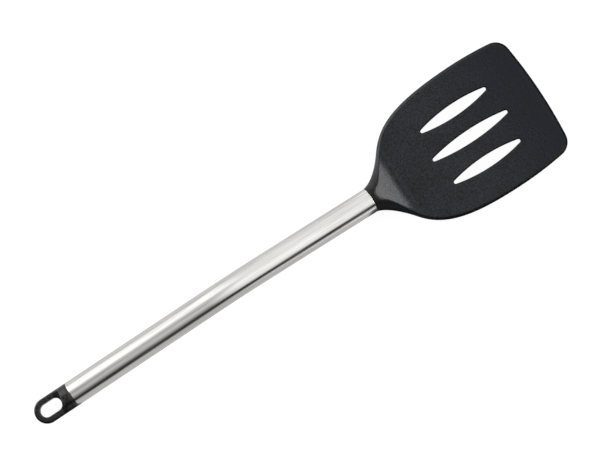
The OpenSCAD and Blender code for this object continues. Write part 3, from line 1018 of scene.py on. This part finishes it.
def plastic(name, tint, roughness, level, spread, grain, detail, depth, front_tint=None,
            polish=0.0):
    """Black moulded plastic with a fine grain. With a front tint, painted shade blackens its
    colour on the neck, and it goes over to that tint and is smoother towards the blade's front."""
    material, n, shader = new_material(name)
    place = n.add("ShaderNodeTexCoord", out="Object")
    shade, rough = (*tint, 1), roughness
    if front_tint:
        x = n.parts(place)[0]
        # Towards the blade's front the colour goes over to a darker, bluer tint and the roughness
        # drops
        towards_front = n.span(x, *TOWARDS_FRONT)
        shade = n.blend(towards_front, shade, (*front_tint, 1), "RGBA")
        # Painted shade: the colour is scaled down to black on the neck and fades out towards the
        # blade
        shade = n.scaled(shade, n.span(x, *NECK_PAINTED_SHADE))
        rough = n.blend(towards_front, roughness, roughness - polish)
    shader.inputs["Specular IOR Level"].default_value = level
    surface(n, shader, group_of("Moulded grain", grain_group), depth, Vector=place,
            Rim=n.add("ShaderNodeAttribute", out="Fac", attribute_name="rim"),
            Colour=shade, Spread=spread, Grain=grain, Detail=detail, Roughness=rough)
    return material


def brushed_steel(tint, roughness):
    """Stainless steel brushed along the tube."""
    material, n, shader = new_material("brushed steel")
    shader.inputs["Metallic"].default_value = 1.0
    surface(n, shader, group_of("Brushed streaks", streak_group), depth=2e-5,
            Vector=n.add("ShaderNodeAttribute", out="Vector", attribute_name="straight"),
            Colour=(*tint, 1), Spread=0.45, Roughness=roughness, Length=0.02, Width=0.0006)
    return material


def cured_adhesive(tint):
    """Amber adhesive with small bubbles."""
    material, n, shader = new_material("cured adhesive")
    surface(n, shader, group_of("Moulded grain", grain_group), depth=5e-5, bump=0.5,
            Vector=n.add("ShaderNodeTexCoord", out="Object"),
            Colour=(*tint, 1), Spread=0.35, Grain=0.0012, Roughness=0.25)
    return material


# The stage

# Brightness of the room by direction: degrees about the turner's length from straight up,
# less than 0 towards the blade's left. The tube's half by the loop mirrors the first band,
# its half by the blade the last, and the one between them lies further back
LOOP_SIDE = ((-100, 0.5), (-88, 0.5), (-78, 1.4), (-70, 1.65), (-36, 1.65), (-10, 0.6),
             (0, 0.56), (15, 0.72), (27, 0.62), (50, 0.04), (73, 0.03), (84, 0.5), (95, 0.8))
BEHIND = ((-85, 4.0), (-50, 4.0), (-22, 0.03), (100, 0.03))
BLADE_SIDE = ((-85, 0.85), (-55, 1.15), (-20, 1.15), (12, 1.4), (40, 1.2), (48, 0.9),
              (59, 0.03), (71, 0.02), (84, 0.58), (95, 0.85))
# Brightness that a ramp's white stands for
BRIGHTEST = 4.0
# How the first band goes over to the last: the rise with a direction's lean along the
# turner, and the share at no lean
BLADE_RISE, BLADE_START = 3.85, 0.73
# Leans at which the light goes over to the band behind, and to plain light past both ends
TO_BEHIND = (-0.2, -0.3)
PAST_LOOP, PAST_LOOP_LIGHT = (-0.84, -0.93), 0.03
PAST_BLADE, PAST_BLADE_LIGHT = (0.3, 0.5), 0.2
# Softbox ahead of the blade: its fades along, up and to both sides
BOX_ALONG, BOX_RISE, BOX_ACROSS = (0.35, 0.75), 2.2, (0.7, 0.3)

# The floor as gloss and metal mirror it, in metres: a painted pool of light that is paler on the
# blade's left and palest ahead of the neck
LEFT_SIDE, LEFT_PAINTED_LIGHT = (-0.05, 0.05), 0.17
AHEAD, AHEAD_PAINTED_LIGHT = (0.066, 0.076), 1.3
# Painted shadows on it, dark patches in its glow: under the blade, and on the right side beside
# the neck and the cap, each of these two with its fade along and its slant
UNDER_BLADE_SHADOW_ALONG, UNDER_BLADE_SHADOW_ACROSS = (0.085, 0.095), (0.046, 0.040)
RIGHT_SIDE = (0.003, -0.003)
NECK_PAINTED_SHADOW = ((0.049, 0.054), 0.25)
CAP_PAINTED_SHADOW = ((-0.1515, -0.1555), -0.2)
FLOOR_REACH = 3


def fill_ramp(ramp, stops):
    """Grey stops over the full turn."""
    ramp.interpolation = "LINEAR"
    while len(ramp.elements) < len(stops):
        ramp.elements.new(0.5)
    for element, (turn, bright) in zip(ramp.elements, stops):
        element.position = turn / 360 + 0.5
        element.color = (*[bright / BRIGHTEST] * 3, 1)


def room_light(n, studio):
    """Light of the room by direction."""
    x, y, z = n.parts(n.add("ShaderNodeTexCoord", out="Generated"))
    # Share of a full turn about the turner's length, 0.5 for straight up
    turn = n.math("MULTIPLY_ADD", n.math("ARCTAN2", -y, z), 0.5 / pi, 0.5)
    bands = []
    for stops in (LOOP_SIDE, BLADE_SIDE, BEHIND):
        ramp = n.node("ShaderNodeValToRGB", turn)
        fill_ramp(ramp.color_ramp, stops)
        bands.append(ramp.outputs[0])
    by_loop, by_blade, behind = bands
    light = n.blend(n.math("MULTIPLY_ADD", x, BLADE_RISE, BLADE_START, clamp=True),
                    by_loop, by_blade)
    light = n.blend(n.span(x, *TO_BEHIND), light, behind)
    light = n.blend(n.span(x, *PAST_LOOP), light * BRIGHTEST, PAST_LOOP_LIGHT)
    light = n.blend(n.span(x, *PAST_BLADE), light, PAST_BLADE_LIGHT)
    low = n.math("SUBTRACT", 1.0, z * BOX_RISE, clamp=True)
    box = low * n.span(x, *BOX_ALONG) * n.span(n.math("ABSOLUTE", y), *BOX_ACROSS)
    return (light + box * studio.front) * studio.room


def floor_glow(n, studio):
    """Glow of the floor: white to the camera, and to gloss and metal a painted pool of light with
    painted shadows.
    """
    x, y, _ = n.parts(n.add("ShaderNodeTexCoord", out="Object"))
    # Painted pool of light, seen only in reflections: paler on the blade's left and brightest
    # ahead of the neck
    painted_light_pool = n.blend(n.span(y, *LEFT_SIDE), studio.floor_shown, studio.floor_shown + LEFT_PAINTED_LIGHT)
    painted_light_pool = n.blend(n.span(x, *AHEAD), painted_light_pool, AHEAD_PAINTED_LIGHT)
    # Painted shadows: the mirrored glow goes dark under the blade and beside the neck and the cap
    painted_shadow = n.span(x, *UNDER_BLADE_SHADOW_ALONG) * n.span(n.math("ABSOLUTE", y), *UNDER_BLADE_SHADOW_ACROSS)
    right = n.span(y, *RIGHT_SIDE)
    for fade, slant in (NECK_PAINTED_SHADOW, CAP_PAINTED_SHADOW):
        painted_shadow = n.math("MAXIMUM", painted_shadow, n.span(x + y * slant, *fade) * right)
    path = n.node("ShaderNodeLightPath").outputs
    seen = n.math("MULTIPLY", path["Is Camera Ray"], studio.floor_seen)
    mirrored = n.math("MAXIMUM", path["Is Glossy Ray"], path["Is Transmission Ray"])
    return seen + n.blend(painted_shadow, painted_light_pool, 0.0) * mirrored


def build_floor(studio):
    """Plain pale floor at height 0, with a painted pool of light and painted shadows that only
    gloss and metal show.
    """
    corners = [(x * FLOOR_REACH, y * FLOOR_REACH, 0)
               for x, y in ((-1, -1), (1, -1), (1, 1), (-1, 1))]
    mesh = bpy.data.meshes.new("floor")
    mesh.from_pydata(corners, [], [(0, 1, 2, 3)])
    material, n, shader = new_material("pale floor")
    shader.inputs["Base Color"].default_value = (studio.floor, studio.floor, studio.floor, 1)
    shader.inputs["Roughness"].default_value = 1.0
    shader.inputs["Specular IOR Level"].default_value = 0.0
    shader.inputs["Emission Color"].default_value = (1, 1, 1, 1)
    n.put(shader.inputs["Emission Strength"], floor_glow(n, studio))
    mesh.materials.append(material)
    return place_mesh("floor", mesh)


def build_room(scene, studio):
    """World that lights the part softly and is white to the camera."""
    world = bpy.data.worlds.new("room")
    world.use_nodes = True
    scene.world = world
    world.node_tree.nodes.clear()
    n = Nodes(world.node_tree)
    soft = n.add("ShaderNodeBackground", (1, 1, 1, 1), room_light(n, studio))
    white = n.add("ShaderNodeBackground", (1, 1, 1, 1), 1.0)
    by_camera = n.add("ShaderNodeLightPath", out="Is Camera Ray")
    n.node("ShaderNodeOutputWorld", n.add("ShaderNodeMixShader", by_camera, soft, white))


def build_camera(scene, studio):
    camera = bpy.data.cameras.new("camera")
    camera.lens, camera.sensor_width, camera.clip_end = studio.lens, 36, 100
    scene.camera = place_mesh("camera", camera)
    scene.camera.matrix_world = Matrix.LocRotScale(Vector(studio.camera_place),
                                                   Euler(studio.camera_turn), None)


# Operators: one for each piece and one for the stage

def adopt(piece, material, node):
    """Gives a piece its finish and lets it stand for a solid of the part."""
    piece.data.materials.clear()
    piece.data.materials.append(material)
    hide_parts(node)
    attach(piece, "root")


class TURNER_OT_head(bpy.types.Operator):
    """Builds the moulded blade and neck with their tang"""
    bl_idname = "turner.head"
    bl_label = "Build the head"

    def execute(self, context):
        settings = context.scene.turner
        look = settings.finishes
        piece = build_head(settings, Lie(settings))
        nylon = plastic("black nylon", look.nylon, look.nylon_rough, level=0.30, spread=2.6,
                        grain=0.0012, detail=3.0, depth=2e-4, front_tint=look.nylon_front,
                        polish=look.nylon_polish)
        adopt(piece, nylon, "turner_head")
        return {"FINISHED"}


class TURNER_OT_tube(bpy.types.Operator):
    """Builds the bent steel tube"""
    bl_idname = "turner.tube"
    bl_label = "Build the tube"

    def execute(self, context):
        settings = context.scene.turner
        look = settings.finishes
        steel = brushed_steel(look.steel, look.steel_rough)
        adopt(build_tube(settings, Lie(settings), steel), steel, "handle_tube")
        return {"FINISHED"}


class TURNER_OT_cap(bpy.types.Operator):
    """Builds the end cap with its hanging loop and plug"""
    bl_idname = "turner.cap"
    bl_label = "Build the end cap"

    def execute(self, context):
        settings = context.scene.turner
        look = settings.finishes
        piece = build_cap(settings, Lie(settings))
        black = plastic("black cap plastic", look.cap, look.cap_rough, level=0.56, spread=5.0,
                        grain=0.0014, detail=2.0, depth=1.9e-4)
        adopt(piece, black, "hanging_cap")
        return {"FINISHED"}


class TURNER_OT_bonds(bpy.types.Operator):
    """Gives the bands of adhesive inside the tube their finish"""
    bl_idname = "turner.bonds"
    bl_label = "Finish the adhesive"

    def execute(self, context):
        material = cured_adhesive(context.scene.turner.finishes.adhesive)
        for name in ("head_bond", "cap_bond"):
            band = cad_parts[name]
            if not band.material_slots:
                band.data.materials.append(material)
            for slot in band.material_slots:
                slot.material = material
        return {"FINISHED"}


class TURNER_OT_stage(bpy.types.Operator):
    """Sets up the floor, the soft light and the camera"""
    bl_idname = "turner.stage"
    bl_label = "Set the stage"

    def execute(self, context):
        scene, studio = context.scene, context.scene.turner.studio
        scene.view_settings.view_transform = "Standard"
        floor = build_floor(studio)
        build_room(scene, studio)
        build_camera(scene, studio)
        return {"FINISHED"}


class TURNER_PT_panel(bpy.types.Panel):
    """Sizes, finishes and steps of the slotted turner"""
    bl_idname = "TURNER_PT_panel"
    bl_label = "Slotted turner"
    bl_space_type = "VIEW_3D"
    bl_region_type = "UI"
    bl_category = "Turner"

    def draw(self, context):
        settings = context.scene.turner
        for part in ("tube", "blade", "neck", "slots", "cap", "stems", "finishes", "studio"):
            box = self.layout.box()
            box.label(text=part.capitalize())
            group = getattr(settings, part)
            for name in group.bl_rna.properties.keys():
                if name not in ("rna_type", "name"):
                    box.prop(group, name)
        for step in STEPS:
            self.layout.operator(step.bl_idname)


STEPS = (TURNER_OT_head, TURNER_OT_tube, TURNER_OT_cap, TURNER_OT_bonds, TURNER_OT_stage)
CLASSES = (TubeSizes, BladeSizes, NeckSizes, SlotSizes, CapSizes, StemSizes, Finishes, Studio,
           TurnerSettings) + STEPS + (TURNER_PT_panel,)


def register():
    for cls in CLASSES:
        bpy.utils.register_class(cls)
    bpy.types.Scene.turner = bpy.props.PointerProperty(type=TurnerSettings)


def unregister():
    del bpy.types.Scene.turner
    for cls in reversed(CLASSES):
        bpy.utils.unregister_class(cls)


def main():
    register()
    bpy.ops.turner.head()
    bpy.ops.turner.tube()
    bpy.ops.turner.cap()
    bpy.ops.turner.bonds()
    bpy.ops.turner.stage()


if __name__ == "__main__":
    main()
